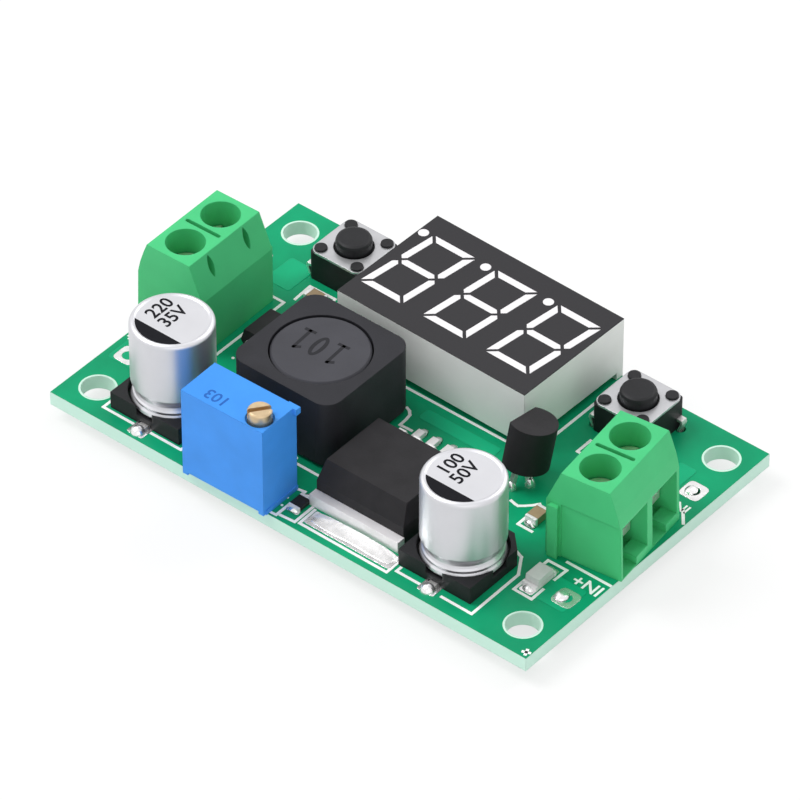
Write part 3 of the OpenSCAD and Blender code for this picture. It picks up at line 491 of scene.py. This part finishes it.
def oval(x, y, rx, ry, z, square):  # a closed loop, from an ellipse at 2 towards a rectangle
    deselectAll()
    bpy.ops.mesh.primitive_circle_add(vertices=40, radius=mm, location=(0, 0, z * mm))
    obj = settle(bpy.context.object)
    for vertex in obj.data.vertices:
        u, v = vertex.co.x / mm, vertex.co.y / mm
        reach = (abs(u) ** square + abs(v) ** square) ** (1 / square)
        vertex.co.x, vertex.co.y = (x + rx * u / reach) * mm, (y + ry * v / reach) * mm
    return obj


def ring(x, y, outer, inner, z, thick, square=2):
    obj = joined([oval(x, y, *outer, z, square), oval(x, y, *inner, z, 2)], "ring")
    bpy.ops.object.mode_set(mode="EDIT")
    bpy.ops.mesh.select_all(action="SELECT")
    bpy.ops.mesh.bridge_edge_loops()
    bpy.ops.mesh.extrude_region_move(TRANSFORM_OT_translate={"value": (0, 0, thick * mm)})
    bpy.ops.mesh.select_all(action="SELECT")
    bpy.ops.mesh.normals_make_consistent(inside=False)
    bpy.ops.object.mode_set(mode="OBJECT")
    return obj


padPieces = [ring(x, y, pads["half"], pads["hole"], top - pads["sink"], pads["thick"], square=5)
             for x, y in pads["square"]]
z = top + pads["thick"] / 2 - pads["sink"]
padPieces += [roundedPlate((length, width, pads["thick"]), (x, y, z), pads["corner"], 2)
              for x, y, length, width in pads["flat"]]
addPiece(joined(padPieces, "barePads"), finish["solder"], smooth=0)
print("copper and pads made")


# solder that stands on the top side
beads = {
    "list": [  # centre x, y, reach in x, y and height
        (-18.3, -16.75, 0.75, 0.75, 0.62), (-18.3, -6.6, 0.7, 0.7, 0.5),
        (15.75, -16.3, 0.75, 0.75, 0.62), (15.75, -6.1, 0.7, 0.7, 0.5),
        (25.55, -9.35, 0.72, 0.80, 0.42), (25.75, 9.2, 0.6, 0.7, 0.35),
        (22.65, -10.55, 0.6, 0.42, 0.4), (22.65, -7.35, 0.6, 0.42, 0.4),
        (-0.35, -13.75, 0.62, 0.4, 0.4), (-0.35, -15.85, 0.62, 0.4, 0.4),
        (-16.8, 3.2, 1.1, 0.55, 0.45), (-16.8, -2.4, 1.1, 0.55, 0.45),
        (13.0, -1.0, 0.5, 0.5, 0.9), (14.0, 0.45, 0.5, 0.5, 0.9), (13.3, 2.3, 0.5, 0.5, 0.8),
        (17.4, -1.7, 0.66, 0.4, 0.5), (17.4, -3.75, 0.66, 0.4, 0.5),
    ],
    "feet": [2.0, 3.7, 5.4, 7.1, 8.8],  # x of the regulator's leads
    "foot": (-0.35, 0.5, 0.7, 0.35),
    "sink": 0.12,  # share of its height by which a bead starts under the board's top
    "reach": 1.12,  # so that it still ends at its height
}


def bead(x, y, rx, ry, height):
    deselectAll()
    bpy.ops.mesh.primitive_uv_sphere_add(segments=20, ring_count=12, radius=1,
                                         location=(x * mm, y * mm, (top - height * beads["sink"]) * mm))
    obj = bpy.context.object
    obj.scale = (rx * mm, ry * mm, height * beads["reach"] * mm)
    settle(obj)
    bpy.ops.object.mode_set(mode="EDIT")
    bpy.ops.mesh.select_all(action="SELECT")
    bpy.ops.mesh.bisect(plane_co=(0, 0, top * mm), plane_no=(0, 0, 1), clear_inner=True, use_fill=True)
    bpy.ops.object.mode_set(mode="OBJECT")
    return obj


drops = [bead(*one) for one in beads["list"]] + [bead(x, *beads["foot"]) for x in beads["feet"]]
addPiece(joined(drops, "topSolder"), finish["solder"], smooth=60)


pool = {"centre": (6.35, -15.35), "size": (9.4, 1.5), "height": 0.42, "front": 0.25, "least": 0.06,
        "ragged": 0.22, "wave": (2.3, 0.9)}


def tabPool():  # a frozen pool in front of the regulator's tab
    obj = block((*pool["size"], pool["height"]), (*pool["centre"], top + pool["height"] / 2))
    bpy.ops.object.mode_set(mode="EDIT")
    bpy.ops.mesh.select_all(action="SELECT")
    bpy.ops.mesh.subdivide(number_cuts=5)
    bpy.ops.object.mode_set(mode="OBJECT")
    for vertex in obj.data.vertices:  # high by the tab, thin and ragged at the front
        u = min(1, max(0, (vertex.co.y / mm - pool["centre"][1]) / pool["size"][1] + 0.5))
        along = vertex.co.x / mm
        lift = (vertex.co.z / mm - top) / pool["height"]
        ends = 1 - abs(2 * (along - pool["centre"][0]) / pool["size"][0]) ** 6
        wave = 0.5 + 0.5 * math.sin(along * pool["wave"][0]) * math.cos(along * pool["wave"][1] + 1)
        slope = pool["front"] + (1 - pool["front"]) * u ** 1.5
        swell = max(pool["least"], slope * ends * (0.7 + 0.3 * wave))
        vertex.co.z = (top + lift * pool["height"] * swell) * mm
        vertex.co.y += (1 - u) * pool["ragged"] * (wave - 0.5) * mm
    smooth = obj.modifiers.new("soft", "SUBSURF")
    smooth.levels = smooth.render_levels = 1
    applyAll(obj)
    obj.name = "tabSolder"
    return obj


addPiece(tabPool(), finish["solder"], smooth=70)
print("solder made")


# plain values printed on the parts
marks = {
    "cans": {
        "out_capacitor_can": {"lines": ["220", "35V"]},
        "in_capacitor_can": {"lines": ["100", "50V"]},
    },
    "chord": -1.88,  # the black patch lies past this line from the can's middle
    "patch": 3.5,
    "letter": 1.45,
    "row": 1.7,
    "first": (-1.95, 0.55),
    "trimmer": {"text": "103", "at": (-8.2, -17.05), "turn": 180, "size": 1.3, "lift": 0.004,
                "thick": 0.012},
    "thick": 0.015,
    "lift": 0.008,
    "sink": 0.1,  # from the can's rim down to its flat top
    "inductor": {"pitch": 1.88, "tall": 2.7, "wide": 1.3, "stroke": 0.4, "serif": 0.5, "turn": 184,
                 "shift": (-0.44, 0.2), "thick": 0.012, "sink": 0.004},
}


def canMarks(node, lines):
    low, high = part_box(node)
    cx, cy, z = (low.x + high.x) / 2 / mm, (low.y + high.y) / 2 / mm, high.z / mm - marks["sink"]
    deselectAll()
    bpy.ops.mesh.primitive_circle_add(vertices=64, radius=marks["patch"] * mm, fill_type="NGON",
                                      location=(cx * mm, cy * mm, z * mm))
    patch = settle(bpy.context.object)
    bpy.ops.object.mode_set(mode="EDIT")
    bpy.ops.mesh.select_all(action="SELECT")
    bpy.ops.mesh.bisect(plane_co=(cx * mm, (cy + marks["chord"]) * mm, 0), plane_no=(0, 1, 0),
                        clear_outer=True)
    bpy.ops.mesh.select_all(action="SELECT")
    bpy.ops.mesh.extrude_region_move(TRANSFORM_OT_translate={"value": (0, 0, marks["thick"] * mm)})
    bpy.ops.mesh.select_all(action="SELECT")
    bpy.ops.mesh.normals_make_consistent(inside=False)
    bpy.ops.object.mode_set(mode="OBJECT")
    parts = [patch]
    for i, text in enumerate(lines):  # two rows of a plain value, read from the -X side
        at = (cx + marks["first"][0] + i * marks["row"], cy + marks["first"][1] - i * 0.1)
        parts.append(inkWord(text, at, 90, marks["letter"], z + marks["lift"], marks["thick"], "value"))
    return joined(parts, node.replace("_can", "") + "Marks")


for node, look in marks["cans"].items():
    addPiece(canMarks(node, look["lines"]), finish["inkBlack"], smooth=0)


def coreValue():  # 101 in plain strokes: two ones with serifs round an oval nought
    look = marks["inductor"]
    low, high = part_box("inductor_core")
    z, thick = high.z / mm - look["sink"], look["thick"]
    tall, stroke, serif = look["tall"] / 2, look["stroke"], look["serif"]
    wide, over = look["wide"] / 2, tall + 0.1
    parts = [ring(0, 0, (wide, over), (wide - stroke, over - stroke), z, thick)]
    for x in (-look["pitch"], look["pitch"]):
        stem, foot = ((x, -tall), (x, tall)), ((x - serif, -tall), (x + serif, -tall))
        flag = ((x, tall), (x - serif, tall - 0.3))
        parts += [inkBar(a, b, stroke * 0.85, z, thick) for a, b in (stem, foot, flag)]
    word = joined(parts, "inductorMark")
    word.rotation_euler.z = math.radians(look["turn"])
    word.location.x = (low.x + high.x) / 2 + look["shift"][0] * mm
    word.location.y = (low.y + high.y) / 2 + look["shift"][1] * mm
    return settle(word)


addPiece(coreValue(), finish["inkGrey"], smooth=0)
look = marks["trimmer"]
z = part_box("trimmer_housing")[1].z / mm + look["lift"]
value = inkWord(look["text"], look["at"], look["turn"], look["size"], z, look["thick"], "trimmerValue")
addPiece(value, finish["inkBlue"], smooth=0)
print("values printed on the parts")


# floor, light and camera
def whiteRays(tree):  # 1 for the rays that see a white surround
    path = tree.nodes.new("ShaderNodeLightPath")
    total = path.outputs["Is Camera Ray"]
    for kind in ("Is Glossy Ray", "Is Transmission Ray"):
        total = mathNode(tree, "MAXIMUM", total, path.outputs[kind])
    return total


stage = {"floor": 0.8, "tone": (0.94, 0.94, 0.94), "white": 0.75, "sky": 0.55}
deselectAll()
bpy.ops.mesh.primitive_plane_add(size=stage["floor"], location=(0, 0, floorZ))
floor = bpy.context.object
floor.name = "floor"
paper = bpy.data.materials.new("paper")
paper.use_nodes = True
tree = paper.node_tree
tree.nodes.clear()
out = tree.nodes.new("ShaderNodeOutputMaterial")
matte = tree.nodes.new("ShaderNodeBsdfDiffuse")
matte.inputs["Color"].default_value = (*stage["tone"], 1)
glow = tree.nodes.new("ShaderNodeEmission")
glow.inputs["Strength"].default_value = 1.0
both = tree.nodes.new("ShaderNodeMixShader")
tree.links.new(mathNode(tree, "MULTIPLY", whiteRays(tree), stage["white"]), both.inputs["Fac"])
tree.links.new(matte.outputs[0], both.inputs[1])
tree.links.new(glow.outputs[0], both.inputs[2])
tree.links.new(both.outputs[0], out.inputs["Surface"])
floor.data.materials.append(paper)

lamps = {
    "key": {"size": 0.35, "power": 2.7, "at": (-0.35, -0.15, 0.55)},
    "fill": {"size": 0.5, "power": 0.45, "at": (0.45, -0.40, 0.35)},
    "back": {"size": 0.4, "power": 1.2, "at": (0.1, 0.5, 0.5)},
}
for name, lamp in lamps.items():
    deselectAll()
    bpy.ops.object.light_add(type="AREA", location=lamp["at"])
    light = bpy.context.object
    light.name = name
    light.data.size = lamp["size"]
    light.data.energy = lamp["power"]
    light.rotation_euler = (-Vector(lamp["at"])).to_track_quat("-Z", "Y").to_euler()

world = bpy.data.worlds.new("studio")
bpy.context.scene.world = world
world.use_nodes = True
tree = world.node_tree
tree.nodes.clear()
out = tree.nodes.new("ShaderNodeOutputWorld")
sky = tree.nodes.new("ShaderNodeBackground")
sky.inputs["Color"].default_value = (1, 1, 1, 1)
sky.inputs["Strength"].default_value = stage["sky"]
white = tree.nodes.new("ShaderNodeBackground")
white.inputs["Color"].default_value = (1, 1, 1, 1)
white.inputs["Strength"].default_value = 1.0
mix = tree.nodes.new("ShaderNodeMixShader")
tree.links.new(whiteRays(tree), mix.inputs["Fac"])
tree.links.new(sky.outputs[0], mix.inputs[1])
tree.links.new(white.outputs[0], mix.inputs[2])
tree.links.new(mix.outputs[0], out.inputs["Surface"])

shot = {"azimuth": 39.62, "elevation": 41.17, "distance": 656.9, "lens": 320.75, "aim": (-2.59, 1.97)}
a, e = math.radians(shot["azimuth"]), math.radians(shot["elevation"])
back = Vector((math.sin(a) * math.cos(e), -math.cos(a) * math.cos(e), math.sin(e)))
aim = Vector((shot["aim"][0] * mm, shot["aim"][1] * mm, boardTop))
deselectAll()
bpy.ops.object.camera_add(location=aim + back * shot["distance"] * mm)
camera = bpy.context.object
camera.name = "camera"
camera.rotation_euler = (-back).to_track_quat("-Z", "Y").to_euler()
camera.data.lens = shot["lens"]
camera.data.sensor_width = 36
camera.data.clip_start = 0.05
camera.data.clip_end = 5
bpy.context.scene.camera = camera
bpy.context.scene.view_settings.view_transform = "Standard"
print("stage set")
